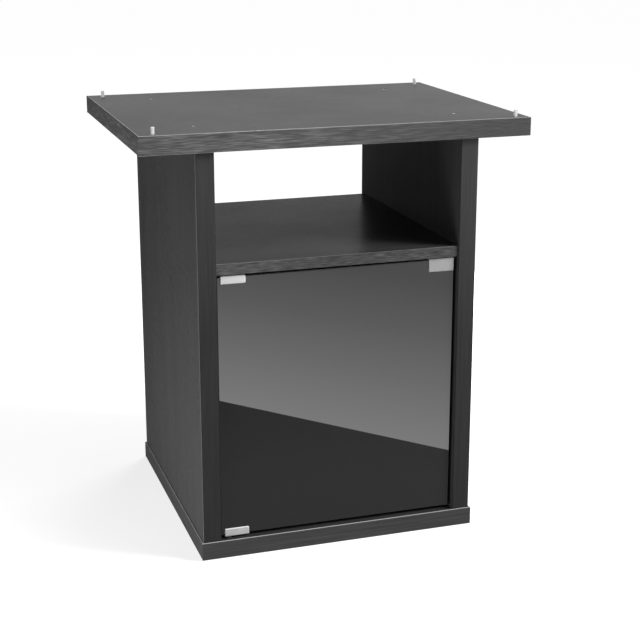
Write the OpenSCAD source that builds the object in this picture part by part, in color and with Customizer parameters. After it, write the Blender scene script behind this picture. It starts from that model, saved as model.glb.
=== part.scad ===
// Terrarium stand of thick boards: an open upper bay, a fixed shelf and a lower
// compartment behind a pivot-hung glass door with a push latch. Four pins in the
// top locate the terrarium. Millimetres, +X right, +Y back, +Z up. The origin is
// on the floor under the centre of the top panel.

/* [Overall] */
// Height of the top surface above the floor
stand_h = 700; // [660:5:800]
// Width of the top panel over its edge bands
top_w = 640; // [600:5:760]
// Depth of the top panel over its edge bands
top_d = 480; // [440:5:560]
// Reach of the top panel past each side panel
top_side_reach = 87; // [60:1:100]
// Reach of the top panel past the front of the side panels
top_front_reach = 8; // [2:1:20]
// Reach of the base panel past the side panels and their front
base_reach = 3; // [1:0.5:10]

/* [Boards] */
// Thickness of the top panel
top_t = 30; // [25:1:40]
// Thickness of the side panels
side_t = 30; // [25:1:40]
// Thickness of the base panel
base_t = 30; // [25:1:40]
// Thickness of the middle shelf
shelf_t = 18; // [16:1:25]
// Thickness of the glued edge bands of the thick boards
band_t = 2; // [1:0.5:3]
// Thickness of the shelf's edge bands
shelf_band_t = 1; // [0.6:0.2:2]
// Rounding of the outer edges of the thick boards' bands
band_round = 1.5; // [0.5:0.1:2]
// Rounding of the outer edges of the shelf's bands
shelf_band_round = 0.8; // [0.2:0.1:1]

/* [Shelf and back panel] */
// Height of the shelf's upper face above the floor
shelf_z = 493; // [440:1:540]
// Distance from the front of the side panels to the shelf's front edge
shelf_front_inset = 3; // [1:0.5:5]
// Distance from the back of the side panels to the shelf's back edge
shelf_back_inset = 16; // [12:1:30]
// Thickness of the thin back panel
back_t = 4; // [3:0.5:6]
// Depth of the grooves in the sides and base that hold the back panel
groove_depth = 8; // [5:0.5:10]
// Play of the back panel in its grooves
groove_play = 0.2; // [0.1:0.05:0.5]
// Distance from the shelf's upper face down to the back panel's upper edge
back_top_drop = 2; // [1:0.5:3]
// Radius of the cable hole in the back panel
cable_hole_r = 30; // [20:1:35]
// Distance of the cable hole's centre from the right side panel
cable_hole_side = 80; // [60:1:120]
// Distance of the cable hole's centre below the shelf
cable_hole_drop = 80; // [60:1:120]

/* [Board screws and dowels] */
// Length of the long screws in the top and the base
long_screw_len = 70; // [60:1:75]
// Radius of the long screws' shank
long_screw_r = 3.5; // [3:0.1:4]
// Radius of the long screws' countersunk head
long_screw_head_r = 5; // [4.5:0.1:6]
// Height of the long screws' countersunk head
long_screw_head_h = 4; // [3:0.5:6]
// Distance of the long screws from the top's front and back edges
long_screw_inset = 77; // [50:1:90]
// Length of the wooden dowels between thick boards
dowel_len = 40; // [30:1:44]
// Radius of every wooden dowel
dowel_r = 4; // [3:0.5:5]
// Distance of the dowels from the top's front and back edges
dowel_inset = 140; // [120:1:180]
// Length of the wooden dowels in the shelf's ends
shelf_dowel_len = 30; // [24:1:36]
// Distance of the shelf dowels from the shelf's front and back edges
shelf_dowel_inset = 160; // [145:1:200]
// Radial play of screws and dowels in their holes
hole_play = 0.05; // [0.02:0.01:0.1]

/* [Cam fixings of the shelf] */
// Radius of a cam lock
cam_r = 7.5; // [6:0.5:8]
// Distance from the shelf's end to the middle of a cam lock
cam_end = 24; // [18:1:34]
// Distance of the cam locks from the shelf's front and back edges
cam_inset = 110; // [105:1:125]
// Radius of a cam bolt's neck
cam_bolt_r = 3; // [2:0.5:3.5]
// Length of a cam bolt's thread in the side panel
cam_thread_len = 11; // [8:1:13]
// Wall left between a cam lock's pocket and its bolt's bore
cam_cover = 2; // [1:0.5:3]

/* [Locating pins] */
// Radius of the pins
pin_r = 3; // [2:0.5:4]
// Height of the pins above the top surface
pin_up = 12; // [8:1:20]
// Depth of the pins in the top panel
pin_down = 12; // [8:1:18]
// Chamfer at the pins' upper ends
pin_chamfer = 0.6; // [0.2:0.1:1]
// Reach of the pins past their thinner shank in the top panel
pin_shoulder = 0.5; // [0.3:0.1:0.8]
// Length of the shank that stands free between the top surface and the shoulder
pin_relief = 0.5; // [0.3:0.1:1]
// Distance from the top's left and right edges to the pins
pin_side_inset = 24; // [8:1:80]
// Distance from the top's front edge to the front pins
pin_front_inset = 8; // [7:0.5:20]
// Distance from the top's back edge to the back pins
pin_back_inset = 32; // [8:1:60]

/* [Glass door] */
// Thickness of the glass
glass_t = 5; // [4:0.5:6]
// Distance from the front of the side panels to the glass's front face
glass_inset = 8; // [7:0.5:12]
// Gap between the glass and the left side panel
gap_left = 2; // [1.5:0.5:6]
// Gap between the glass and the right side panel
gap_right = 5; // [2:0.5:8]
// Gap between the glass and the shelf above
gap_top = 4.5; // [4:0.5:8]
// Gap between the glass and the base below
gap_bottom = 5.5; // [4:0.5:8]
// Rounding of the glass's corners
glass_corner_r = 1.5; // [0.5:0.5:4]
// Ground bevel along the glass's edges
glass_arris = 0.7; // [0.3:0.1:1]

/* [Hinge clips] */
// Width of a hinge clip along the glass
clip_w = 41; // [36:1:60]
// Height of a hinge clip's face
clip_h = 13.5; // [11:0.5:20]
// Distance from the glass's left edge to the clip
clip_inset = 5; // [2:0.5:6]
// Thickness of a clip's front plate
clip_face_t = 1.5; // [1:0.1:2]
// Thickness of a hinge clip's back plate
clip_back_t = 4; // [3:0.5:6]
// Thickness of the bridge over the glass's edge
bridge_t = 2; // [1.5:0.1:2.4]
// Chamfer round a clip's face
clip_chamfer = 1; // [0.2:0.1:1]
// Rounding of a hinge clip's corners
clip_corner_r = 2.5; // [1:0.5:4]
// Thickness of the soft pads between clip and glass
pad_t = 0.5; // [0.3:0.1:0.8]
// Play between a clip's bridge and the glass's edge
edge_play = 0.5; // [0.3:0.1:0.8]
// Radius of a clamping screw
clamp_r = 2; // [1.5:0.5:2.5]
// Distance between a clip's two clamping screws
clamp_pitch = 22; // [18:1:26]

/* [Pivots] */
// Distance from the glass's left edge to the pivot's axis
pivot_inset = 11; // [8:0.5:12]
// Radius of the pivot pins
pivot_r = 2.5; // [2:0.5:3]
// Length of a pivot pin inside its board
pivot_reach = 7; // [5:0.5:9]
// Radial running clearance of a pivot pin in its bush
pivot_play = 0.05; // [0.02:0.01:0.1]
// Wall of the hinge bushes
bush_wall = 2; // [1.5:0.5:2.5]
// Reach of a bush's flange past its barrel
bush_flange_reach = 1.5; // [0.5:0.5:2]
// Thickness of the upper bush's flange
bush_flange_t = 1; // [0.5:0.1:1.2]
// Thickness of a bush's closed end and the room before it
bush_end = 1; // [0.5:0.5:2]

/* [Strike plate and push latch] */
// Width of the strike plate
strike_w = 43; // [36:1:60]
// Height of the strike plate
strike_h = 21.5; // [18:0.5:30]
// Distance from the glass's right edge to the strike plate
strike_inset = 0.5; // [0:0.5:4]
// Thickness of the strike plate's back
strike_back_t = 3; // [2:0.5:4]
// Rounding of the strike plate's corners
strike_corner_r = 0.6; // [0.3:0.1:2]
// Gap between the latch's magnet and the closed strike plate
latch_gap = 0.3; // [0.2:0.1:0.5]
// Radius of the latch's magnet
magnet_r = 5; // [4.5:0.5:6]
// Thickness of the latch's magnet
magnet_t = 3; // [2:0.5:5]
// Radius of the latch's plunger
plunger_r = 4; // [3:0.5:4]
// Length of the plunger
plunger_len = 30; // [24:1:34]
// Radial running clearance of the plunger
plunger_play = 0.05; // [0.03:0.01:0.1]
// Way that the plunger can be pushed in to release the door
push_travel = 3; // [2:0.5:4]
// Spare room beyond the plunger's travel
push_spare = 1; // [0.5:0.5:2]
// Length of the latch's spring at rest
spring_len = 18; // [14:1:22]
// Radius of the spring's wire
spring_wire_r = 0.4; // [0.3:0.1:0.5]
// Number of turns of the spring
spring_turns = 8; // [5:1:10]
// Length of the latch housing
latch_len = 58; // [54:1:62]
// Wall of the latch housing round the plunger
latch_wall = 3; // [2:0.5:5]
// Thickness of the latch's mounting plate
latch_plate_t = 3; // [2:0.5:4]
// Reach of the mounting plate past the housing on each side
latch_ear = 9; // [8:0.5:9]
// Length of the small screws
small_screw_len = 14; // [10:1:14]
// Radius of the small screws' shank
small_screw_r = 1.6; // [1.2:0.1:2]
// Radius of the small screws' head
small_screw_head_r = 3.2; // [2.8:0.1:3.6]
// Height of the small screws' head
small_screw_head_h = 2; // [1.5:0.1:2.5]
// Distance between the screws of the back panel
back_screw_pitch = 170; // [100:5:180]

/* [Hidden] */
$fn = 48;

// Colours of the materials
board_colour = [0.21, 0.21, 0.22];
band_colour = [0.26, 0.26, 0.27];
back_colour = [0.16, 0.16, 0.17];
wood_colour = [0.78, 0.62, 0.42];
zinc_colour = [0.72, 0.73, 0.75];
satin_colour = [0.83, 0.83, 0.84];
strike_colour = [0.66, 0.66, 0.67];
pin_colour = [0.93, 0.93, 0.94];
screw_colour = [0.33, 0.33, 0.34];
glass_colour = [0.13, 0.13, 0.14];
pad_colour = [0.10, 0.10, 0.10];
nylon_colour = [0.20, 0.20, 0.21];
housing_colour = [0.30, 0.30, 0.31];
magnet_colour = [0.45, 0.45, 0.47];

// Overshoot of a cutting solid past the face that it opens
cut = 1;

// Seam between two edge bands that meet at a corner
band_seam = 0.05;

// Boards: edges and faces
body_w = top_w - 2 * top_side_reach;
inner_w = body_w - 2 * side_t;
side_x = (body_w - side_t) / 2;
top_under = stand_h - top_t;
side_front = top_front_reach - top_d / 2;
side_back = top_d / 2;
side_d = side_back - side_front;
side_h = top_under - base_t;
base_w = body_w + 2 * base_reach;
base_front = side_front - base_reach;
base_d = side_back - base_front;
shelf_front = side_front + shelf_front_inset;
shelf_back = side_back - shelf_back_inset;
shelf_d = shelf_back - shelf_front;
shelf_under = shelf_z - shelf_t;
shelf_mid = shelf_z - shelf_t / 2;

// Back panel and its grooves
back_edge_gap = groove_depth - groove_play;
back_w = inner_w + 2 * back_edge_gap;
back_bottom = base_t - back_edge_gap;
back_h = shelf_z - back_top_drop - back_bottom;
groove_w = back_t + 2 * groove_play;
cable_hole_x = inner_w / 2 - cable_hole_side;
cable_hole_z = shelf_under - cable_hole_drop;

// Rows of fixings, front and back
long_screw_y = top_d / 2 - long_screw_inset;
dowel_y = top_d / 2 - dowel_inset;
cam_ys = [shelf_front + cam_inset, shelf_back - cam_inset];
shelf_dowel_ys = [shelf_front + shelf_dowel_inset, shelf_back - shelf_dowel_inset];

// Pins: the shank in the top panel and the thicker pin above it
pin_shank_r = pin_r - pin_shoulder;
pin_body = pin_up - pin_relief - 2 * pin_chamfer;

// A long screw's head lies just under the surface
head_sink = 0.2;
screw_tip = 4;
screw_tip_r = 1.2;
socket_r = 2.3;
socket_depth = 2.5;

// Small screws: crown of the head, tip and cross slot
small_crown_step = 0.6;
small_crown_r = small_screw_head_r - small_crown_step;
small_tip = 2;
small_tip_r = 0.3;
small_slot = 3.6;
small_slot_w = 0.8;
small_slot_depth = 1;

// A cam lock reaches past the bolt that it holds
cam_lock_h = shelf_t / 2 + cam_bolt_r + cam_cover;
cam_slot_w = 2;
cam_slot_depth = 3;
cam_head_step = 0.6;
cam_head_r = cam_bolt_r + cam_head_step;
cam_head_len = 2;
cam_collar_step = 1;
cam_collar_r = cam_bolt_r + cam_collar_step;
cam_collar_len = 1.5;

// Glass
glass_front = side_front + glass_inset;
glass_back = glass_front + glass_t;
glass_left = gap_left - inner_w / 2;
glass_right = inner_w / 2 - gap_right;
glass_top = shelf_under - gap_top;
glass_bottom = base_t + gap_bottom;
glass_w = glass_right - glass_left;
glass_h = glass_top - glass_bottom;

// Clips over the glass's edge
clip_lip = edge_play + bridge_t;
clip_x = glass_left + clip_inset;
clip_front = -pad_t - clip_face_t;
slot_w = glass_t + 2 * pad_t;
strike_x = glass_right - strike_inset - strike_w;
pad_margin = 1;
clamp_hex_r = 1.1;
clamp_hex_depth = 1.5;

// Pivots
pivot_chamfer = 0.5;
pivot_x = glass_left + pivot_inset;
pivot_y = glass_front + glass_t / 2;
bush_r = pivot_r + bush_wall;
bush_flange_r = bush_r + bush_flange_reach;
upper_pin_z = glass_top + edge_play;
lower_pin_z = glass_bottom - edge_play;
lower_flange_t = gap_bottom - clip_lip;

// Push latch: its axis, and its parts from front to back
latch_x = strike_x + strike_w / 2;
latch_body_r = plunger_r + latch_wall;
latch_z = shelf_under - latch_plate_t - latch_body_r;
magnet_front = glass_back + pad_t + strike_back_t + latch_gap;
plunger_front = magnet_front + magnet_t;
latch_front = plunger_front + push_travel + push_spare;
spring_front = plunger_front + plunger_len;
spring_back = spring_front + spring_len;
spring_r = plunger_r - 2 * spring_wire_r;
latch_screw_end = 10;
latch_screw_ys = [latch_front + latch_screw_end, latch_front + latch_len - latch_screw_end];
latch_screw_x = latch_body_r + latch_ear / 2;

// Latch spring: a tube of few sides along a helix
spring_sides = 6;
spring_steps = 10;
spring_rise = spring_len - 2 * spring_wire_r;

// Profile of an edge band: inner side at x = 0, outer side at x = t, both outer
// corners rounded with radius r, or less on a thin band
module band_profile(t, h, r) {
    corner = min(r, t);
    intersection() {
        square([t, h]);
        translate([t - corner, 0])
            union() {
                translate([-t, 0])
                    square([t, h]);
                translate([0, corner])
                    square([corner, h - 2 * corner]);
                for (z = [corner, h - corner])
                    translate([0, z])
                        circle(r = corner);
            }
    }
}

// Edge band along X, glued to a face that looks at -Y at y = 0
module front_band(len, t, h, r) {
    rotate([90, 0, -90])
        translate([0, 0, -len / 2])
            linear_extrude(len)
                band_profile(t, h, r);
}

// Edge band along X, glued to a face that looks at +Y at y = 0
module back_band(len, t, h, r) {
    rotate([0, 0, 180])
        front_band(len, t, h, r);
}

// Edge band along Z, standing on z = 0, glued to a face that looks at -Y at y = 0
module upright_band(w, t, h, r) {
    linear_extrude(h)
        rotate(-90)
            translate([0, -w / 2])
                band_profile(t, w, r);
}

// Four bands round a board of outer size w by d
module band_ring(w, d, h) {
    translate([0, band_t - d / 2, 0])
        front_band(w, band_t, h, band_round);
    translate([0, d / 2 - band_t, 0])
        back_band(w, band_t, h, band_round);
    for (s = [-1, 1])
        translate([s * (w / 2 - band_t), 0, 0])
            rotate([0, 0, 90 * s])
                front_band(d - 2 * (band_t + band_seam), band_t, h, band_round);
}

// Rectangle with rounded corners, its lower left corner at the origin
module rounded_rect(w, h, r) {
    translate([r, 0])
        square([w - 2 * r, h]);
    translate([0, r])
        square([w, h - 2 * r]);
    for (x = [r, w - r], y = [r, h - r])
        translate([x, y])
            circle(r = r);
}

// Rectangle with its corners cut off by c, its lower left corner at the origin
module chamfered_rect(w, h, c) {
    polygon([[c, 0], [w - c, 0], [w, c], [w, h - c], [w - c, h], [c, h], [0, h - c], [0, c]]);
}

// Board core between its edge bands, centred in X and Y
module board(w, d, h) {
    translate([-w / 2, -d / 2, 0])
        cube([w, d, h]);
}

// Repeats its children at the four long screws or dowels, y apart from the middle
module at_sides(y) {
    for (sx = [-1, 1], sy = [-1, 1])
        translate([sx * side_x, sy * y, 0])
            children();
}

// Repeats its children at both ends of the shelf, at each y of ys, turned so
// that local +X points out of the shelf's end
module at_shelf_ends(ys) {
    for (s = [-1, 1], y = ys)
        translate([s * inner_w / 2, y, shelf_mid])
            rotate([0, 0, s > 0 ? 0 : 180])
                children();
}

// Shape of a long screw, head upwards at z = 0, grown by play for its hole
module long_screw_shape(play) {
    translate([0, 0, -long_screw_head_h])
        cylinder(h = long_screw_head_h, r1 = long_screw_r + play, r2 = long_screw_head_r + play);
    translate([0, 0, screw_tip - long_screw_len])
        cylinder(h = long_screw_len - screw_tip - long_screw_head_h, r = long_screw_r + play);
    translate([0, 0, -long_screw_len])
        cylinder(h = screw_tip, r1 = screw_tip_r + play, r2 = long_screw_r + play);
}

module long_screw() {
    difference() {
        long_screw_shape(0);
        translate([0, 0, -socket_depth])
            cylinder(h = socket_depth + cut, r = socket_r, $fn = 6);
    }
}

module long_screw_hole() {
    long_screw_shape(hole_play);
    cylinder(h = head_sink + cut, r = long_screw_head_r + hole_play);
}

// Long screws down through the top
module at_top_screws() {
    at_sides(long_screw_y)
        translate([0, 0, stand_h - head_sink])
            children();
}

// Long screws up through the base
module at_base_screws() {
    at_sides(long_screw_y)
        translate([0, 0, head_sink])
            mirror([0, 0, 1])
                children();
}

// Dowel across the joint face at z = 0
module dowel_shape(len, play) {
    translate([0, 0, -len / 2 - play])
        cylinder(h = len + 2 * play, r = dowel_r + play);
}

module at_top_dowels() {
    at_sides(dowel_y)
        translate([0, 0, top_under])
            children();
}

module at_base_dowels() {
    at_sides(dowel_y)
        translate([0, 0, base_t])
            children();
}

module shelf_dowel_shape(play) {
    rotate([0, 90, 0])
        dowel_shape(shelf_dowel_len, play);
}

// Cam bolt along X across the shelf's end at x = 0, the thread at +X
module cam_bolt_shape(play) {
    rotate([0, 90, 0]) {
        translate([0, 0, -cam_end - play])
            cylinder(h = cam_head_len + 2 * play, r = cam_head_r + play);
        translate([0, 0, -cam_end])
            cylinder(h = cam_end, r = cam_bolt_r + play);
        translate([0, 0, -cam_collar_len])
            cylinder(h = cam_collar_len, r = cam_collar_r + play);
        cylinder(h = cam_thread_len + play, r = cam_bolt_r + play);
    }
}

// Bore for the cam bolt from the shelf's end to its lock
module cam_bolt_bore() {
    rotate([0, -90, 0])
        translate([0, 0, -cut])
            cylinder(h = cam_end + cut, r = cam_collar_r + hole_play);
}

// Pocket or body of a cam lock, open at the shelf's underside
module cam_lock_shape(play) {
    translate([-cam_end, 0, -shelf_t / 2])
        cylinder(h = cam_lock_h + play, r = cam_r + play);
}

// Small screw, head at z > 0, grown by play for its hole
module small_screw_shape(play) {
    cylinder(h = small_screw_head_h, r1 = small_screw_head_r + play, r2 = small_crown_r + play);
    translate([0, 0, small_tip - small_screw_len])
        cylinder(h = small_screw_len - small_tip + small_screw_head_h / 2, r = small_screw_r + play);
    translate([0, 0, -small_screw_len])
        cylinder(h = small_tip, r1 = small_tip_r + play, r2 = small_screw_r + play);
}

module small_screw() {
    difference() {
        small_screw_shape(0);
        for (a = [0, 90])
            rotate([0, 0, a])
                translate([-small_slot / 2, -small_slot_w / 2, small_screw_head_h - small_slot_depth])
                    cube([small_slot, small_slot_w, small_slot_depth + cut]);
    }
}

// Screws of the back panel, heads on its back face
module at_back_screws() {
    for (i = [-1:1])
        translate([i * back_screw_pitch / 2, shelf_back + back_t, shelf_mid])
            rotate([-90, 0, 0])
                children();
}

// Screws of the latch, heads under its mounting plate
module at_latch_screws() {
    for (s = [-1, 1], y = latch_screw_ys)
        translate([latch_x + s * latch_screw_x, y, shelf_under - latch_plate_t])
            mirror([0, 0, 1])
                children();
}

// Pin with its shank below z = 0, a relief above it and both ends chamfered
module locating_pin() {
    translate([0, 0, -pin_down])
        cylinder(h = pin_down + pin_up / 2, r = pin_shank_r);
    translate([0, 0, pin_relief])
        cylinder(h = pin_chamfer, r1 = pin_r - pin_chamfer, r2 = pin_r);
    translate([0, 0, pin_relief + pin_chamfer])
        cylinder(h = pin_body, r = pin_r);
    translate([0, 0, pin_up - pin_chamfer])
        cylinder(h = pin_chamfer, r1 = pin_r, r2 = pin_r - pin_chamfer);
}

// Places of the locating pins on the top surface
module at_pins() {
    for (s = [-1, 1], y = [pin_front_inset - top_d / 2, top_d / 2 - pin_back_inset])
        translate([s * (top_w / 2 - pin_side_inset), y, stand_h])
            children();
}

// Side panel core with its groove and holes, on side s (-1 left, 1 right)
module side_panel(s) {
    difference() {
        translate([s * side_x, (side_front + side_back) / 2, base_t])
            board(side_t, side_d - 2 * band_t, side_h);
        translate([s * inner_w / 2, shelf_back - groove_play, base_t - cut])
            translate([s > 0 ? -cut : -groove_depth, 0, 0])
                cube([groove_depth + cut, groove_w, back_bottom + back_h + groove_play - base_t + cut]);
        at_top_screws()
            long_screw_hole();
        at_base_screws()
            long_screw_hole();
        at_top_dowels()
            dowel_shape(dowel_len, hole_play);
        at_base_dowels()
            dowel_shape(dowel_len, hole_play);
        at_shelf_ends(shelf_dowel_ys)
            shelf_dowel_shape(hole_play);
        at_shelf_ends(cam_ys)
            cam_bolt_shape(hole_play);
    }
}

// Front and back edge bands of a side panel
module side_bands(s) {
    translate([s * side_x, side_front + band_t, base_t])
        upright_band(side_t, band_t, side_h, band_round);
    translate([s * side_x, side_back - band_t, base_t])
        rotate([0, 0, 180])
            upright_band(side_t, band_t, side_h, band_round);
}

// Clip that grips the glass's edge. The glass's front face is y = 0 and its
// edge is z = 0, the glass below. Chamfers run round the front plate.
module edge_clip(w, h, back, corner_r) {
    clip_d = clip_face_t + slot_w + back;
    clip_back = clip_front + clip_d;
    intersection() {
        rotate([90, 0, 90])
            linear_extrude(w)
                difference() {
                    translate([clip_front, clip_lip - h])
                        polygon([
                            [clip_chamfer, 0], [clip_d, 0], [clip_d, h],
                            [clip_chamfer, h], [0, h - clip_chamfer], [0, clip_chamfer]
                        ]);
                    translate([-pad_t, clip_lip - h - cut])
                        square([slot_w, h - bridge_t + cut]);
                }
        translate([0, clip_front, clip_lip - h])
            linear_extrude(h)
                polygon([
                    [0, clip_chamfer], [clip_chamfer, 0], [w - clip_chamfer, 0],
                    [w, clip_chamfer], [w, clip_d], [0, clip_d]
                ]);
        translate([0, clip_back, clip_lip - h])
            rotate([90, 0, 0])
                linear_extrude(clip_d)
                    rounded_rect(w, h, corner_r);
    }
}

// Clamping screws along Y through the back plate of a clip
module clamp_screws(w, h, back, play) {
    for (s = [-1, 1])
        translate([w / 2 + s * clamp_pitch / 2, glass_t + pad_t, (clip_lip - bridge_t - h) / 2])
            rotate([-90, 0, 0])
                difference() {
                    translate([0, 0, play > 0 ? -cut : 0])
                        cylinder(h = back + (play > 0 ? 2 * cut : 0), r = clamp_r + play);
                    if (play == 0)
                        translate([0, 0, back - clamp_hex_depth])
                            cylinder(h = clamp_hex_depth + cut, r = clamp_hex_r, $fn = 6);
                }
}

// Soft pads on both faces of the glass inside a clip
module clip_pads(w, h) {
    for (y = [-pad_t, glass_t])
        translate([pad_margin, y, clip_lip - h + pad_margin])
            cube([w - 2 * pad_margin, pad_t, h - clip_lip - 2 * pad_margin]);
}

// Places of the clips: the lower hinge clip is the upper one mirrored
module at_upper_clip() {
    translate([clip_x, glass_front, glass_top])
        children();
}

module at_lower_clip() {
    translate([clip_x, glass_front, glass_bottom])
        mirror([0, 0, 1])
            children();
}

module at_strike() {
    translate([strike_x, glass_front, glass_top])
        children();
}

// Hinge clip: an edge clip with two clamping holes and a bore for the pivot pin
module hinge_clip() {
    difference() {
        edge_clip(clip_w, clip_h, clip_back_t, clip_corner_r);
        clamp_screws(clip_w, clip_h, clip_back_t, hole_play);
        translate([pivot_inset - clip_inset, glass_t / 2, 0])
            cylinder(h = clip_lip + cut, r = pivot_r + hole_play);
    }
}

// Pivot pin upwards from the bridge, through the gap and into the bush
module pivot_pin(gap) {
    pin_len = bridge_t + gap - clip_lip + pivot_reach;
    cylinder(h = pin_len - pivot_chamfer, r = pivot_r);
    translate([0, 0, pin_len - pivot_chamfer])
        cylinder(h = pivot_chamfer, r1 = pivot_r, r2 = pivot_r - pivot_chamfer);
}

// Outer shape of a hinge bush in a board whose face is z = 0, grown by play
module bush_barrel(play) {
    cylinder(h = pivot_reach + 2 * bush_end + play, r = bush_r + play);
}

// Hinge bush, barrel upwards in the board and flange below its face
module hinge_bush(flange) {
    difference() {
        union() {
            bush_barrel(0);
            translate([0, 0, -flange])
                cylinder(h = flange, r = bush_flange_r);
        }
        translate([0, 0, -flange - cut])
            cylinder(h = flange + cut + pivot_reach + bush_end, r = pivot_r + pivot_play);
    }
}

module at_upper_bush() {
    translate([pivot_x, pivot_y, shelf_under])
        children();
}

module at_lower_bush() {
    translate([pivot_x, pivot_y, base_t])
        mirror([0, 0, 1])
            children();
}

module top_panel() {
    color(board_colour)
        difference() {
            translate([0, 0, top_under])
                board(top_w - 2 * band_t, top_d - 2 * band_t, top_t);
            at_top_screws()
                long_screw_hole();
            at_top_dowels()
                dowel_shape(dowel_len, hole_play);
            at_pins()
                translate([0, 0, -pin_down])
                    cylinder(h = pin_down + cut, r = pin_shank_r + hole_play);
        }
}

module top_edge_bands() {
    color(band_colour)
        translate([0, 0, top_under])
            band_ring(top_w, top_d, top_t);
}

module side_panel_left() {
    color(board_colour)
        side_panel(-1);
}

module side_panel_right() {
    color(board_colour)
        side_panel(1);
}

module side_edge_bands_left() {
    color(band_colour)
        side_bands(-1);
}

module side_edge_bands_right() {
    color(band_colour)
        side_bands(1);
}

module base_panel() {
    color(board_colour)
        difference() {
            translate([0, (base_front + side_back) / 2, 0])
                board(base_w - 2 * band_t, base_d - 2 * band_t, base_t);
            at_base_screws()
                long_screw_hole();
            at_base_dowels()
                dowel_shape(dowel_len, hole_play);
            at_lower_bush()
                bush_barrel(hole_play);
            translate([-inner_w / 2 - groove_depth, shelf_back - groove_play, base_t - groove_depth])
                cube([inner_w + 2 * groove_depth, groove_w, groove_depth + cut]);
        }
}

module base_edge_bands() {
    color(band_colour)
        translate([0, (base_front + side_back) / 2, 0])
            band_ring(base_w, base_d, base_t);
}

module middle_shelf() {
    color(board_colour)
        difference() {
            translate([0, (shelf_front + shelf_back) / 2, shelf_under])
                board(inner_w, shelf_d - 2 * shelf_band_t, shelf_t);
            at_shelf_ends(shelf_dowel_ys)
                shelf_dowel_shape(hole_play);
            at_shelf_ends(cam_ys) {
                cam_bolt_bore();
                translate([0, 0, -cut])
                    cam_lock_shape(hole_play);
                cam_lock_shape(hole_play);
            }
            at_upper_bush()
                bush_barrel(hole_play);
            at_back_screws()
                small_screw_shape(hole_play);
            at_latch_screws()
                small_screw_shape(hole_play);
        }
}

module shelf_edge_bands() {
    color(band_colour)
        difference() {
            union() {
                translate([0, shelf_front + shelf_band_t, shelf_under])
                    front_band(inner_w, shelf_band_t, shelf_t, shelf_band_round);
                translate([0, shelf_back - shelf_band_t, shelf_under])
                    back_band(inner_w, shelf_band_t, shelf_t, shelf_band_round);
            }
            at_back_screws()
                small_screw_shape(hole_play);
        }
}

module back_panel() {
    color(back_colour)
        difference() {
            translate([-back_w / 2, shelf_back, back_bottom])
                cube([back_w, back_t, back_h]);
            translate([cable_hole_x, shelf_back - cut, cable_hole_z])
                rotate([-90, 0, 0])
                    cylinder(h = back_t + 2 * cut, r = cable_hole_r);
            at_back_screws()
                small_screw_shape(hole_play);
        }
}

module top_screws() {
    color(screw_colour)
        at_top_screws()
            long_screw();
}

module base_screws() {
    color(screw_colour)
        at_base_screws()
            long_screw();
}

module top_dowels() {
    color(wood_colour)
        at_top_dowels()
            dowel_shape(dowel_len, 0);
}

module base_dowels() {
    color(wood_colour)
        at_base_dowels()
            dowel_shape(dowel_len, 0);
}

module shelf_dowels() {
    color(wood_colour)
        at_shelf_ends(shelf_dowel_ys)
            shelf_dowel_shape(0);
}

module cam_bolts() {
    color(zinc_colour)
        at_shelf_ends(cam_ys)
            cam_bolt_shape(0);
}

module cam_locks() {
    color(zinc_colour)
        at_shelf_ends(cam_ys)
            difference() {
                cam_lock_shape(0);
                cam_bolt_shape(hole_play);
                for (a = [0, 90])
                    translate([-cam_end, 0, -shelf_t / 2 - cut])
                        rotate([0, 0, a])
                            translate([-cam_r / 2, -cam_slot_w / 2, 0])
                                cube([cam_r, cam_slot_w, cam_slot_depth + cut]);
            }
}

module back_panel_screws() {
    color(zinc_colour)
        at_back_screws()
            small_screw();
}

module locating_pins() {
    color(pin_colour)
        at_pins()
            locating_pin();
}

module glass_door() {
    color(glass_colour)
        translate([glass_left, glass_front, glass_bottom])
            intersection() {
                translate([0, glass_t, 0])
                    rotate([90, 0, 0])
                        linear_extrude(glass_t)
                            rounded_rect(glass_w, glass_h, glass_corner_r);
                linear_extrude(glass_h)
                    chamfered_rect(glass_w, glass_t, glass_arris);
                rotate([90, 0, 90])
                    linear_extrude(glass_w)
                        chamfered_rect(glass_t, glass_h, glass_arris);
            }
}

module upper_hinge_clip() {
    color(satin_colour)
        at_upper_clip()
            hinge_clip();
}

module lower_hinge_clip() {
    color(satin_colour)
        at_lower_clip()
            hinge_clip();
}

module upper_clip_pads() {
    color(pad_colour)
        at_upper_clip()
            clip_pads(clip_w, clip_h);
}

module lower_clip_pads() {
    color(pad_colour)
        at_lower_clip()
            clip_pads(clip_w, clip_h);
}

module upper_clip_screws() {
    color(zinc_colour)
        at_upper_clip()
            clamp_screws(clip_w, clip_h, clip_back_t, 0);
}

module lower_clip_screws() {
    color(zinc_colour)
        at_lower_clip()
            clamp_screws(clip_w, clip_h, clip_back_t, 0);
}

module upper_pivot_pin() {
    color(zinc_colour)
        translate([pivot_x, pivot_y, upper_pin_z])
            pivot_pin(gap_top);
}

module lower_pivot_pin() {
    color(zinc_colour)
        translate([pivot_x, pivot_y, lower_pin_z])
            mirror([0, 0, 1])
                pivot_pin(gap_bottom);
}

module upper_hinge_bush() {
    color(nylon_colour)
        at_upper_bush()
            hinge_bush(bush_flange_t);
}

module lower_hinge_bush() {
    color(nylon_colour)
        at_lower_bush()
            hinge_bush(lower_flange_t);
}

module strike_plate() {
    color(strike_colour)
        at_strike()
            difference() {
                edge_clip(strike_w, strike_h, strike_back_t, strike_corner_r);
                clamp_screws(strike_w, strike_h, strike_back_t, hole_play);
            }
}

module strike_plate_pads() {
    color(pad_colour)
        at_strike()
            clip_pads(strike_w, strike_h);
}

module strike_plate_screws() {
    color(zinc_colour)
        at_strike()
            clamp_screws(strike_w, strike_h, strike_back_t, 0);
}

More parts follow.
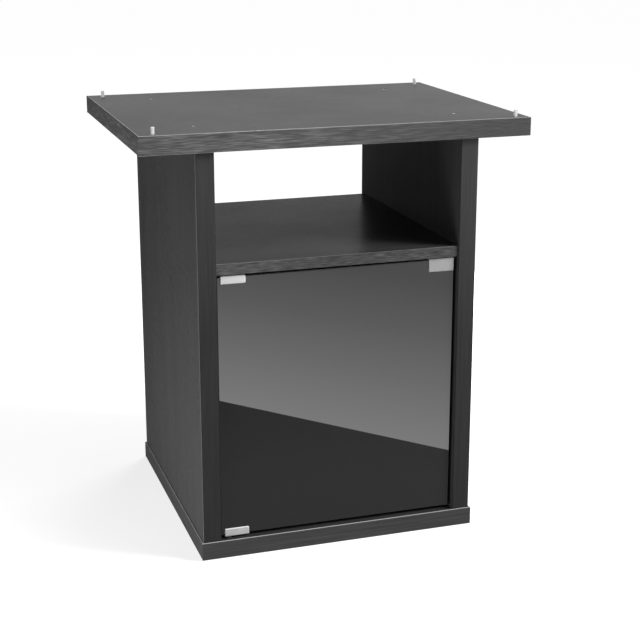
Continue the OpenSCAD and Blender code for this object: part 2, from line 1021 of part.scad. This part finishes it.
module latch_housing() {
    color(housing_colour)
        difference() {
            translate([latch_x, latch_front, 0]) {
                translate([-latch_body_r - latch_ear, 0, shelf_under - latch_plate_t])
                    cube([2 * (latch_body_r + latch_ear), latch_len, latch_plate_t]);
                translate([-latch_body_r, 0, latch_z])
                    cube([2 * latch_body_r, latch_len, latch_body_r + latch_plate_t]);
                translate([0, 0, latch_z])
                    rotate([-90, 0, 0])
                        cylinder(h = latch_len, r = latch_body_r);
            }
            translate([latch_x, latch_front - cut, latch_z])
                rotate([-90, 0, 0])
                    cylinder(h = spring_back - latch_front + cut, r = plunger_r + plunger_play);
            at_latch_screws()
                small_screw_shape(hole_play);
        }
}

module latch_plunger() {
    color(nylon_colour)
        translate([latch_x, plunger_front, latch_z])
            rotate([-90, 0, 0])
                cylinder(h = plunger_len, r = plunger_r);
}

module latch_magnet() {
    color(magnet_colour)
        translate([latch_x, magnet_front, latch_z])
            rotate([-90, 0, 0])
                cylinder(h = magnet_t, r = magnet_r);
}

// Point j of ring i of the spring's tube, wound about Z
function spring_point(i, j) =
    let (turn = 360 * i / spring_steps, side = 360 * j / spring_sides)
    let (r = spring_r - spring_wire_r + spring_wire_r * cos(side))
    [
        r * cos(turn), r * sin(turn),
        spring_wire_r + spring_rise * i / (spring_steps * spring_turns) + spring_wire_r * sin(side)
    ];

module helix_spring() {
    rings = spring_steps * spring_turns;
    points = [for (i = [0:rings], j = [0:spring_sides - 1]) spring_point(i, j)];
    walls = [
        for (i = [0:rings - 1], j = [0:spring_sides - 1])
            let (a = i * spring_sides, b = a + spring_sides, k = (j + 1) % spring_sides)
            each [[a + j, b + j, b + k], [a + j, b + k, a + k]]
    ];
    start = [for (j = [0:spring_sides - 1]) j];
    end = [for (j = [0:spring_sides - 1]) rings * spring_sides + spring_sides - 1 - j];
    polyhedron(points, concat(walls, [start, end]));
}

module latch_spring() {
    color(zinc_colour)
        translate([latch_x, spring_front, latch_z])
            rotate([-90, 0, 0])
                helix_spring();
}

module latch_screws() {
    color(zinc_colour)
        at_latch_screws()
            small_screw();
}

top_panel();
top_edge_bands();
side_panel_left();
side_panel_right();
side_edge_bands_left();
side_edge_bands_right();
base_panel();
base_edge_bands();
middle_shelf();
shelf_edge_bands();
back_panel();
top_screws();
base_screws();
top_dowels();
base_dowels();
shelf_dowels();
cam_bolts();
cam_locks();
back_panel_screws();
locating_pins();
glass_door();
upper_hinge_clip();
lower_hinge_clip();
upper_clip_pads();
lower_clip_pads();
upper_clip_screws();
lower_clip_screws();
upper_pivot_pin();
lower_pivot_pin();
upper_hinge_bush();
lower_hinge_bush();
strike_plate();
strike_plate_pads();
strike_plate_screws();
latch_housing();
latch_plunger();
latch_magnet();
latch_spring();
latch_screws();
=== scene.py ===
"""Looks of the terrarium stand: charcoal boards with streaked edge bands, a dark glass
door on satin clips, bright locating pins, a plain pale studio and the camera.
Metres, +X right, +Y back, +Z up, origin on the floor under the top's centre."""

import math

import bpy
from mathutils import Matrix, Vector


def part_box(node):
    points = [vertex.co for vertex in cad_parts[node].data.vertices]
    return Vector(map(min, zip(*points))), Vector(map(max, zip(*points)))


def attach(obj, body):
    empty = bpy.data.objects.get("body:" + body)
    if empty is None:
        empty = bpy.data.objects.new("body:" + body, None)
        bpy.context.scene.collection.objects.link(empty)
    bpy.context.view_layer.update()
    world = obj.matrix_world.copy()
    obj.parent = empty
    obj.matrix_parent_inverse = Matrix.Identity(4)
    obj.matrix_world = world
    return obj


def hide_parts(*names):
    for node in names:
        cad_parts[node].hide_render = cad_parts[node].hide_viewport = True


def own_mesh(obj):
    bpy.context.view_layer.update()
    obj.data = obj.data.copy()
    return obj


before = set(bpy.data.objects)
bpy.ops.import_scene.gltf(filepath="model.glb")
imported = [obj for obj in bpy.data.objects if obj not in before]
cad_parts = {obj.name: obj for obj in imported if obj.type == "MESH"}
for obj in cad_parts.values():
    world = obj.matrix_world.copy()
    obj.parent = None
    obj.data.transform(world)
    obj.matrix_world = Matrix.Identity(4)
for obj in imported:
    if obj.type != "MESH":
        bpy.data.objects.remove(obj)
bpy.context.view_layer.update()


# Colours and node trees


def grey(level, tint=0.0):
    """Linear grey, a little blue where tint is above 0."""
    return (level, level, level * (1 + tint), 1.0)


WHITE = grey(1.0)


class Tree:
    """The node tree of a material or a world, with short calls for the nodes used here."""

    def __init__(self, owner):
        owner.use_nodes = True
        self.owner = owner
        self.tree = owner.node_tree
        self.tree.nodes.clear()

    def connect(self, value, socket):
        """Links the socket to a value that is another node's output, or else sets it."""
        if isinstance(value, bpy.types.NodeSocket):
            self.tree.links.new(value, socket)
        else:
            socket.default_value = value

    def add(self, kind, inputs=None, **settings):
        """A new node with its settings, and its inputs by name or number."""
        node = self.tree.nodes.new(kind)
        for key, value in settings.items():
            setattr(node, key, value)
        for key, value in (inputs or {}).items():
            self.connect(value, node.inputs[key])
        return node

    def coordinates(self, kind):
        """The Object or Normal coordinates, both in the piece's own directions."""
        return self.add("ShaderNodeTexCoord").outputs[kind]

    def place(self, scale=(1.0, 1.0, 1.0)):
        """The place on the piece, stretched by scale in X, Y and Z."""
        stretch = self.add("ShaderNodeMapping",
                           {"Vector": self.coordinates("Object"), "Scale": scale})
        return stretch.outputs["Vector"]

    def split(self, vector):
        return self.add("ShaderNodeSeparateXYZ", {"Vector": vector}).outputs

    def from_middle(self):
        """How far a place is from the piece's own origin."""
        node = self.add("ShaderNodeVectorMath", {"Vector": self.place()}, operation="LENGTH")
        return node.outputs["Value"]

    def noise(self, vector, scale, detail, roughness=0.5, distortion=0.0):
        node = self.add("ShaderNodeTexNoise", {
            "Vector": vector, "Scale": scale, "Detail": detail,
            "Roughness": roughness, "Distortion": distortion})
        return node.outputs["Fac"]

    def remap(self, value, low, high, to_low, to_high):
        """The value's range low to high, turned into to_low to to_high and kept there."""
        node = self.add("ShaderNodeMapRange", {
            "Value": value, "From Min": low, "From Max": high,
            "To Min": to_low, "To Max": to_high})
        return node.outputs["Result"]

    def spread(self, noise, low, high):
        """A noise as a number from low to high over the range where most of it lies."""
        return self.remap(noise, 0.3, 0.7, low, high)

    def math(self, operation, a, b=0.0):
        return self.add("ShaderNodeMath", {0: a, 1: b}, operation=operation).outputs["Value"]

    def share(self, part, first, second):
        """That part of the first value, and the rest of the second."""
        return self.math("ADD", self.math("MULTIPLY", first, part),
                         self.math("MULTIPLY", second, 1.0 - part))

    def facing(self, axis):
        """How far the piece's own surface faces along an axis, from 0 to 1."""
        return self.math("ABSOLUTE", self.split(self.coordinates("Normal"))[axis])

    def blend(self, factor, a, b, kind="RGBA"):
        """From a to b, as colours or, with kind FLOAT, as numbers."""
        node = self.add("ShaderNodeMix", data_type=kind)
        ends = "VALUE" if kind == "FLOAT" else "RGBA"
        for name, value, wanted in (("Factor", factor, "VALUE"), ("A", a, ends), ("B", b, ends)):
            socket = next(s for s in node.inputs
                          if s.name == name and s.enabled and s.type == wanted)
            self.connect(value, socket)
        return next(s for s in node.outputs if s.enabled)

    def ramp(self, value, stops):
        """The colour of a value from 0 to 1, between stops of (position, colour)."""
        node = self.add("ShaderNodeValToRGB", {"Fac": value})
        elements = node.color_ramp.elements
        while len(elements) < len(stops):
            elements.new(0.5)
        for element, (position, colour) in zip(elements, stops):
            element.position = position
            element.color = colour
        return node.outputs["Color"]

    def bump(self, height, strength, distance):
        node = self.add("ShaderNodeBump", {
            "Height": height, "Strength": strength, "Distance": distance})
        return node.outputs["Normal"]

    def seen(self):
        """1 on rays from the camera, off gloss or through glass, 0 on those that light."""
        path = self.add("ShaderNodeLightPath").outputs
        seen = self.math("MAXIMUM", path["Is Camera Ray"], path["Is Glossy Ray"])
        return self.math("MAXIMUM", seen, path["Is Transmission Ray"])

    def surface(self, **inputs):
        """Ends the tree in a Principled surface with these inputs."""
        names = {"colour": "Base Color", "metal": "Metallic", "roughness": "Roughness",
                 "ior": "IOR", "specular": "Specular IOR Level", "normal": "Normal"}
        shader = self.add("ShaderNodeBsdfPrincipled",
                          {names[key]: value for key, value in inputs.items()})
        self.output(shader.outputs["BSDF"])

    def output(self, shader):
        self.add("ShaderNodeOutputMaterial", {"Surface": shader})


def material_tree(name):
    return Tree(bpy.data.materials.new(name))


# Materials

# The figure of a board is 18 times as long along its grain, in X or Z, as across it
GRAIN = {"x": (1.0, 18.0, 18.0), "z": (18.0, 18.0, 1.0)}
# How far an edge band's surface faces an axis where it starts to take the painted edge
# highlight, or to count as turned to the side, and where it counts fully
EDGE_HIGHLIGHT_FACING = (0.55, 0.85)
TURNED = (0.3, 0.6)
# The highest grey level of a metal
PALEST_METAL = 0.95


def board_material(name, grain, base, specular, depth, roughness=0.49):
    """Melamine board: broad soft figure, fine pores along the grain, satin. depth is how
    far the figure's tones lie from the base colour, and roughness the middle of a narrow
    range."""
    t = material_tree(name)
    along = t.place(GRAIN[grain])
    figure = t.noise(along, scale=2.6, detail=4.0, roughness=0.55, distortion=0.6)
    pores = t.noise(along, scale=62.0, detail=3.0, roughness=0.6)
    cloud = t.noise(t.place(), scale=5.0, detail=2.0)
    value = t.share(0.7, figure, pores)
    tones = ((0.30, -1.0), (0.46, -0.3), (0.58, 0.3), (0.74, 1.0))
    colour = t.ramp(value, [(position, grey(base * (1 + tone * depth)))
                            for position, tone in tones])
    uneven = t.math("ADD", t.spread(pores, roughness - 0.05, roughness + 0.05),
                    t.spread(cloud, -0.03, 0.03))
    t.surface(colour=colour, roughness=uneven, specular=specular,
              normal=t.bump(value, strength=0.12, distance=0.0006))
    return t.owner


def band_material(name, stretch, base, contrast, edge, across, fade, fade_axis="X",
                  sides=(1.0, 1.0), right=1.0):
    """Edge band: streaks of a wood print along the band, and on the roundings a paler colour of
    the level edge, a painted highlight along the rounded edges. across is the axis that the
    roundings turn to. fade is where along fade_axis the band starts and stops changing, and
    the shares of the print's contrast and of the whole level that it has from there on; the
    share of the whole level is painted light and shade along the band. sides is the shares
    of the print's and of the highlight's level on strips that face left or right, painted
    shade on those strips, and right a further share of both on what faces right, painted
    shade there."""
    start, end, end_contrast, end_painted_level = fade
    side_print_shade, side_edge_shade = sides
    t = material_tree(name)
    wide = t.noise(t.place(stretch), scale=0.7, detail=2.0)
    thin = t.noise(t.place(stretch), scale=1.3, detail=1.0)
    streaks = t.share(0.2, wide, thin)
    along = t.split(t.coordinates("Object"))[fade_axis]
    strength = t.remap(along, start, end, contrast, contrast * end_contrast)
    centred = t.math("MULTIPLY", t.math("SUBTRACT", streaks, 0.5), strength)
    tones = ((0.0, 0.35), (0.4, 0.8), (0.5, 1.0), (0.6, 1.25), (1.0, 2.6))
    print_colour = t.ramp(t.math("ADD", centred, 0.5),
                          [(position, grey(base * tone)) for position, tone in tones])
    # The roundings take the level edge: a painted highlight along the rounded edges, set band by
    # band
    edge_highlight = t.remap(t.facing(across), *EDGE_HIGHLIGHT_FACING, 0.0, 1.0)
    plain = t.blend(edge_highlight, print_colour, grey(edge))
    # Strips that face left or right are duller, and sides paints their level darker, a painted
    # shade
    turned = t.remap(t.facing("X"), *TURNED, 0.0, 1.0)
    gain = t.blend(edge_highlight, side_print_shade - 1.0, side_edge_shade - 1.0, "FLOAT")
    level = t.math("ADD", t.math("MULTIPLY", turned, gain), 1.0)
    # Along fade_axis the level changes to its share at the end, a painted gradient of light and
    # shade
    level = t.math("MULTIPLY", level, t.remap(along, start, end, 1.0, end_painted_level))
    # What faces right takes the share right, painted shade on that side
    outwards = t.split(t.coordinates("Normal"))["X"]
    level = t.math("MULTIPLY", level, t.remap(outwards, *TURNED, 1.0, right))
    colour = t.add("ShaderNodeVectorMath", {"Vector": plain, "Scale": level}, operation="SCALE")
    side_rough = 0.3
    uneven = t.math("ADD", t.spread(streaks, 0.52, 0.40),
                    t.math("MULTIPLY", turned, side_rough))
    t.surface(colour=colour.outputs["Vector"], roughness=uneven, specular=0.08,
              normal=t.bump(streaks, strength=0.25, distance=0.0005))
    return t.owner


def screw_material():
    """Long screws: blackened heads, and near-white on all but their level faces, a painted glint
    in their sockets.
    """
    t = material_tree("top_screw")
    grain = t.noise(t.place(), scale=900.0, detail=2.0)
    bright = (0.95, 0.95, 0.96, 1.0)
    black = t.ramp(grain, [(0.3, grey(0.07)), (0.7, grey(0.11))])
    # The faces that are not level, the socket walls, take the near-white: a painted glint
    flat = t.remap(t.facing("Z"), 0.9, 0.99, 0.0, 1.0)
    t.surface(colour=t.blend(flat, bright, black), metal=0.6,
              roughness=t.spread(grain, 0.4, 0.5))
    return t.owner


def hardboard_material():
    """Back panel: lacquered hardboard with a fine pressed surface."""
    t = material_tree("back_board")
    specks = t.noise(t.place(), scale=420.0, detail=3.0, roughness=0.6)
    cloud = t.noise(t.place(), scale=7.0, detail=3.0)
    colour = t.ramp(t.share(0.5, specks, cloud), [(0.3, grey(0.030)), (0.7, grey(0.046))])
    t.surface(colour=colour, roughness=t.spread(specks, 0.55, 0.7), specular=0.3,
              normal=t.bump(specks, strength=0.2, distance=0.0003))
    return t.owner


def beech_material():
    """Dowels: plain beech with short flecks along the dowel."""
    t = material_tree("dowel_wood")
    flecks = t.noise(t.place((60.0, 400.0, 60.0)), scale=8.0, detail=3.0)
    colour = t.ramp(flecks, [(0.3, (0.46, 0.31, 0.17, 1.0)), (0.55, (0.62, 0.45, 0.27, 1.0)),
                             (0.8, (0.70, 0.54, 0.35, 1.0))])
    t.surface(colour=colour, roughness=t.spread(flecks, 0.7, 0.6),
              normal=t.bump(flecks, strength=0.2, distance=0.0003))
    return t.owner


def metal_material(name, base, rough, scale, brush=(1.0, 1.0, 1.0), metal=1.0):
    """Metal with a fine finish: brushed or grained lines and slightly uneven gloss."""
    t = material_tree(name)
    lines = t.noise(t.place(brush), scale=scale, detail=3.0, roughness=0.6)
    cloud = t.noise(t.place(), scale=60.0, detail=2.0)
    value = t.share(0.6, lines, cloud)
    colour = t.ramp(value, [(0.25, grey(base * 0.9, tint=0.01)),
                            (0.75, grey(min(base * 1.1, PALEST_METAL), tint=0.01))])
    t.surface(colour=colour, metal=metal,
              roughness=t.spread(value, rough * 0.85, rough * 1.15),
              normal=t.bump(lines, strength=0.06, distance=0.0002))
    return t.owner


def satin_material(name, base, rim_highlight):
    """Clips: bead-blasted nickel plate, whitish and only a quarter metallic, with the bevel
    round the face paler, a painted highlight."""
    t = material_tree(name)
    beads = t.noise(t.place(), scale=2600.0, detail=2.0, roughness=0.6)
    cloud = t.noise(t.place(), scale=70.0, detail=2.0)
    value = t.share(0.5, beads, cloud)
    plate = t.ramp(value, [(0.3, grey(base * 0.93, tint=0.01)),
                           (0.7, grey(base * 1.06, tint=0.01))])
    # The bevel round the face takes the paler level, a painted highlight
    face = t.remap(t.facing("Y"), 0.8, 0.95, 0.0, 1.0)
    t.surface(colour=t.blend(face, grey(rim_highlight), plate), metal=0.25,
              roughness=t.spread(value, 0.30, 0.42),
              normal=t.bump(beads, strength=0.08, distance=0.0002))
    return t.owner


def glass_material():
    """Door: dark tempered glass, polished faces and ground edges."""
    t = material_tree("door_glass")
    edge = t.remap(t.facing("Y"), 0.5, 0.9, 1.0, 0.0)
    haze = t.noise(t.place(), scale=9.0, detail=3.0, roughness=0.6)
    ground = t.noise(t.place(), scale=900.0, detail=2.0)
    colour = t.blend(edge, grey(0.016, tint=0.05), grey(0.30, tint=0.05))
    rough = t.blend(edge, t.spread(haze, 0.004, 0.02), t.spread(ground, 0.3, 0.45), "FLOAT")
    t.surface(colour=colour, roughness=rough, ior=1.9)
    return t.owner


def moulded_material(name, base, rough, specular=0.5):
    """Moulded nylon, plastic and rubber: a fine spark-eroded grain."""
    t = material_tree(name)
    grain = t.noise(t.place(), scale=1500.0, detail=2.0)
    cloud = t.noise(t.place(), scale=40.0, detail=2.0)
    colour = t.ramp(cloud, [(0.3, grey(base * 0.92)), (0.7, grey(base * 1.08))])
    t.surface(colour=colour, roughness=t.spread(grain, rough * 0.9, rough * 1.1),
              specular=specular, normal=t.bump(grain, strength=0.1, distance=0.0002))
    return t.owner


# The boards are one charcoal melamine, given a level piece by piece as painted light and shade:
# the top, base and shelf darker than the left panel, and the right panel darker than the left,
# painted shade on the upper bay's right wall
board_top = board_material("board_top", grain="x", base=0.031, specular=0.24, depth=0.06)
board_base = board_material("board_base", grain="x", base=0.030, specular=0.15, depth=0.2)
board_shelf = board_material("board_shelf", grain="x", base=0.032, specular=0.012,
                             depth=0.15, roughness=0.30)
board_left = board_material("board_left", grain="z", base=0.0645, specular=0.012,
                            depth=0.15, roughness=0.30)
board_right_shaded = board_material("board_right_shaded", grain="z", base=0.050, specular=0.05,
                             depth=0.15)
# The bands' levels, edges, fades and sides are set band by band as painted light and shade;
# band_left and band_right are one band, band_right painted darker and without the edge highlight
band_top = band_material("band_top", stretch=(30.0, 30.0, 520.0), base=0.126, contrast=1.25,
                         edge=0.50, across="Z", fade=(-0.12, 0.26, 0.35, 0.55),
                         sides=(0.76, 0.55))
band_low = band_material("band_low", stretch=(8.0, 8.0, 240.0), base=0.070, contrast=0.4,
                         edge=0.45, across="Z", fade=(-0.05, 0.24, 1.0, 0.80),
                         sides=(0.97, 0.40))
band_shelf = band_material("band_shelf", stretch=(40.0, 40.0, 700.0), base=0.100, contrast=1.6,
                           edge=0.27, across="Z", fade=(-0.19, -0.02, 1.0, 0.68))
band_left = band_material("band_left", stretch=(200.0, 200.0, 8.0), base=0.036, contrast=0.25,
                          edge=0.14, across="X", fade=(0.38, 0.58, 1.0, 1.47),
                          fade_axis="Z", right=0.2)
band_right = band_material("band_right", stretch=(200.0, 200.0, 8.0), base=0.031, contrast=0.25,
                           edge=0.031, across="X", fade=(0.34, 0.62, 1.0, 1.62),
                           fade_axis="Z")
screw_black = screw_material()
hardboard = hardboard_material()
beech = beech_material()
zinc = metal_material("zinc_steel", base=0.62, rough=0.36, scale=700.0)
pin_steel = metal_material("pin_steel", base=0.95, rough=0.48, scale=500.0,
                           brush=(0.05, 0.05, 4.0), metal=0.92)
satin_clip = satin_material("satin_clip", base=0.73, rim_highlight=0.95)
# The strike plate has the clips' plating at half the level and a duller bevel, painted shade
satin_strike_shaded = satin_material("satin_strike_shaded", base=0.365, rim_highlight=0.85)
door_glass = glass_material()
rubber = moulded_material("pad_rubber", base=0.028, rough=0.75, specular=0.3)
# The bushes and plunger are black nylon, black chosen so that the lower bush below the lower
# clip shows as the shade there: painted shade
nylon = moulded_material("nylon", base=0.035, rough=0.45)
latch_plastic = moulded_material("latch_plastic", base=0.11, rough=0.5)
magnet_plate = metal_material("magnet", base=0.32, rough=0.3, scale=400.0)

MATERIALS = {
    "top_panel": board_top, "base_panel": board_base, "middle_shelf": board_shelf,
    "side_panel_left": board_left, "side_panel_right": board_right_shaded,
    "top_edge_bands": band_top, "base_edge_bands": band_low, "shelf_edge_bands": band_shelf,
    "side_edge_bands_left": band_left, "side_edge_bands_right": band_right,
    "back_panel": hardboard,
    "top_dowels": beech, "base_dowels": beech, "shelf_dowels": beech,
    "top_screws": screw_black, "base_screws": screw_black, "cam_bolts": zinc, "cam_locks": zinc,
    "back_panel_screws": zinc, "upper_clip_screws": zinc, "lower_clip_screws": zinc,
    "upper_pivot_pin": zinc, "lower_pivot_pin": zinc, "strike_plate_screws": zinc,
    "latch_spring": zinc, "latch_screws": zinc,
    "locating_pins": pin_steel,
    "glass_door": door_glass,
    "upper_hinge_clip": satin_clip, "lower_hinge_clip": satin_clip, "strike_plate": satin_strike_shaded,
    "upper_clip_pads": rubber, "lower_clip_pads": rubber, "strike_plate_pads": rubber,
    "upper_hinge_bush": nylon, "lower_hinge_bush": nylon, "latch_plunger": nylon,
    "latch_housing": latch_plastic, "latch_magnet": magnet_plate,
}
for name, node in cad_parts.items():
    node.data.materials.clear()
    node.data.materials.append(MATERIALS[name])


# Pieces


def new_object(name, data):
    thing = bpy.data.objects.new(name, data)
    bpy.context.scene.collection.objects.link(thing)
    return thing


def mesh_object(name, vertices, faces):
    mesh = bpy.data.meshes.new(name)
    mesh.from_pydata(vertices, [], faces)
    return new_object(name, mesh)


def latch_coil():
    """The latch's spring: round wire with a closed turn at each end."""
    wire_radius, turns, clearance = 0.0004, 8, 0.00003
    steps, sides = 32, 12
    # A closed turn advances by a little more than the wire's thickness
    closed_pitch = 2.05 * wire_radius
    low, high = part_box("latch_spring")
    radius = (high[0] - low[0]) / 2 - wire_radius
    x = (low[0] + high[0]) / 2
    z = sum(corner[2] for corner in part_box("latch_plunger")) / 2
    start = low[1] + clearance + wire_radius
    run = high[1] - low[1] - clearance - 2 * wire_radius
    pitch = (run - 2 * closed_pitch) / (turns - 2)
    points = []
    for i in range(turns * steps + 1):
        turn = i / steps
        angle = 2 * math.pi * turn
        closed_turns = min(turn, 1.0) + max(turn - turns + 1, 0.0)
        y = start + closed_pitch * closed_turns + pitch * (turn - closed_turns)
        for j in range(sides):
            side = 2 * math.pi * j / sides
            r = radius + wire_radius * math.cos(side)
            points.append((x + r * math.cos(angle), y + wire_radius * math.sin(side),
                           z + r * math.sin(angle)))
    last = turns * steps * sides
    faces = [(ring + j, ring + (j + 1) % sides, ring + sides + (j + 1) % sides, ring + sides + j)
             for ring in range(0, last, sides) for j in range(sides)]
    caps = [tuple(reversed(range(sides))), tuple(range(last, last + sides))]
    coil = mesh_object("latch_coil", points, faces + caps)
    for face in coil.data.polygons[:len(faces)]:
        face.use_smooth = True
    coil.data.materials.append(zinc)
    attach(coil, "carcass")
    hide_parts("latch_spring")
    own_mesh(coil)


latch_coil()


# Studio


def rectangle(x0, y0, x1, y1, z):
    """The corners of a level rectangle, anticlockwise as seen from above."""
    return [(x0, y0, z), (x1, y0, z), (x1, y1, z), (x0, y1, z)]


def stage_floor():
    """Pale floor, open under the base so that the underside shows from below."""
    reach, inset, z = 45.0, 0.03, -0.0006
    near, far, near_lift, far_lift = 0.4, 1.6, 0.74, 0.92
    low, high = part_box("base_panel")
    outer = rectangle(-reach, -reach, reach, reach, z)
    inner = rectangle(low[0] + inset, low[1] + inset, high[0] - inset, high[1] - inset, z)
    faces = [(i, (i + 1) % 4, 4 + (i + 1) % 4, 4 + i) for i in range(4)]
    floor = mesh_object("floor", outer + inner, faces)
    t = material_tree("floor")
    # Less lift near the stand, so that its shadow shows there
    lift = t.remap(t.from_middle(), near, far, near_lift, far_lift)
    glow = t.add("ShaderNodeEmission",
                 {"Color": WHITE, "Strength": t.math("MULTIPLY", t.seen(), lift)})
    lit = t.add("ShaderNodeBsdfDiffuse", {"Color": grey(0.50)})
    both = t.add("ShaderNodeAddShader", {0: lit.outputs["BSDF"], 1: glow.outputs["Emission"]})
    behind = t.add("ShaderNodeNewGeometry").outputs["Backfacing"]
    clear = t.add("ShaderNodeBsdfTransparent")
    mix = t.add("ShaderNodeMixShader", {
        "Fac": behind, 1: both.outputs["Shader"], 2: clear.outputs["BSDF"]})
    t.output(mix.outputs["Shader"])
    floor.data.materials.append(t.owner)


def stage_reflection():
    """What the gloss sees of the ground: dark round the stand, and a bright panel lying
    in front of it whose straight edge shows as the slanting line in the door."""
    half, z = 5.0, -0.0003
    card = mesh_object("reflection_card", rectangle(-half, -half, half, half, z),
                       [(0, 1, 2, 3)])
    # Two points of the bright panel's near edge, as (x, y), the y that it stays in front
    # of, and the length over which its level falls off
    left, right = (-0.023, -0.950), (0.334, -0.536)
    front, fall_length = -0.3, 1.2
    near, far, near_level, far_level = 0.5, 1.6, 0.20, 0.02
    run = (right[0] - left[0], right[1] - left[1])
    length = math.hypot(*run)
    ahead = (run[1] / length, -run[0] / length)
    t = material_tree("reflection_card")
    axes = t.split(t.place())
    x, y = axes["X"], axes["Y"]
    across = t.math("ADD", t.math("MULTIPLY", t.math("SUBTRACT", x, left[0]), ahead[0]),
                    t.math("MULTIPLY", t.math("SUBTRACT", y, left[1]), ahead[1]))
    panel = t.math("MULTIPLY", t.math("GREATER_THAN", across, 0.0),
                   t.math("LESS_THAN", y, front))
    # The ramp holds half of the panel's level, because its colours end at 1
    half_level = t.ramp(t.math("DIVIDE", across, fall_length), [
        (0.0, grey(0.92)), (0.28, grey(0.66)), (0.565, grey(0.46)), (0.95, grey(0.30))])
    ground = t.remap(t.from_middle(), near, far, near_level, far_level)
    level = t.blend(panel, ground, t.math("MULTIPLY", half_level, 2.0), "FLOAT")
    t.output(t.add("ShaderNodeEmission", {"Strength": level}).outputs["Emission"])
    card.data.materials.append(t.owner)
    card.visible_camera = False
    card.visible_diffuse = False
    card.visible_transmission = False
    card.visible_volume_scatter = False
    card.visible_shadow = False


def studio_world():
    """White for what is seen and mirrored, a plain level for what is lit."""
    world = bpy.data.worlds.new("studio")
    bpy.context.scene.world = world
    lit_level, seen_level = 0.13, 1.0
    t = Tree(world)
    lit, shown = (t.add("ShaderNodeBackground", {"Color": WHITE, "Strength": level})
                  for level in (lit_level, seen_level))
    mix = t.add("ShaderNodeMixShader", {
        "Fac": t.seen(), 1: lit.outputs["Background"], 2: shown.outputs["Background"]})
    t.add("ShaderNodeOutputWorld", {"Surface": mix.outputs["Shader"]})


def aim(lamp, place, target):
    """Puts a lamp at a place and turns its light to a target."""
    lamp.location = place
    dx, dy, dz = (target[i] - place[i] for i in range(3))
    lamp.rotation_euler = (math.atan2(math.hypot(dx, dy), -dz), 0.0, math.atan2(-dx, dy))


def softbox(name, place, target, size, watts):
    """A rectangular lamp that lights softly and that no mirroring face shows."""
    data = bpy.data.lights.new(name, "AREA")
    data.shape = "RECTANGLE"
    data.size, data.size_y = size
    data.energy = watts
    lamp = new_object(name, data)
    lamp.visible_glossy = False
    lamp.visible_camera = False
    aim(lamp, place, target)


def photo_camera():
    """The photograph's viewing angle, from the front left and above."""
    data = bpy.data.cameras.new("camera")
    data.sensor_width = 36.0
    data.lens = 79.594
    data.shift_y = -0.05
    data.dof.use_dof = False
    camera = new_object("camera", data)
    camera.location = (-0.7048, -2.2929, 1.0345)
    yaw, pitch = math.radians(18.008), math.radians(15.277)
    camera.rotation_euler = (math.pi / 2 - pitch, 0.0, -yaw)
    bpy.context.scene.camera = camera


stage_floor()
stage_reflection()
studio_world()
softbox("over", place=(2.1, -1.2, 2.1), target=(0.0, -0.1, 0.6), size=(0.9, 0.9),
        watts=106.0)
softbox("left", place=(-1.0, -0.32, 0.12), target=(-0.233, -0.15, 0.2), size=(0.4, 0.2),
        watts=5.9)
softbox("behind", place=(0.95, 1.35, 0.40), target=(0.1, 0.1, 0.34), size=(1.0, 0.6),
        watts=28.0)
softbox("front", place=(1.1, -1.1, 0.95), target=(0.0, -0.23, 0.6), size=(0.6, 0.2),
        watts=6.5)
photo_camera()
bpy.context.scene.view_settings.view_transform = "Standard"
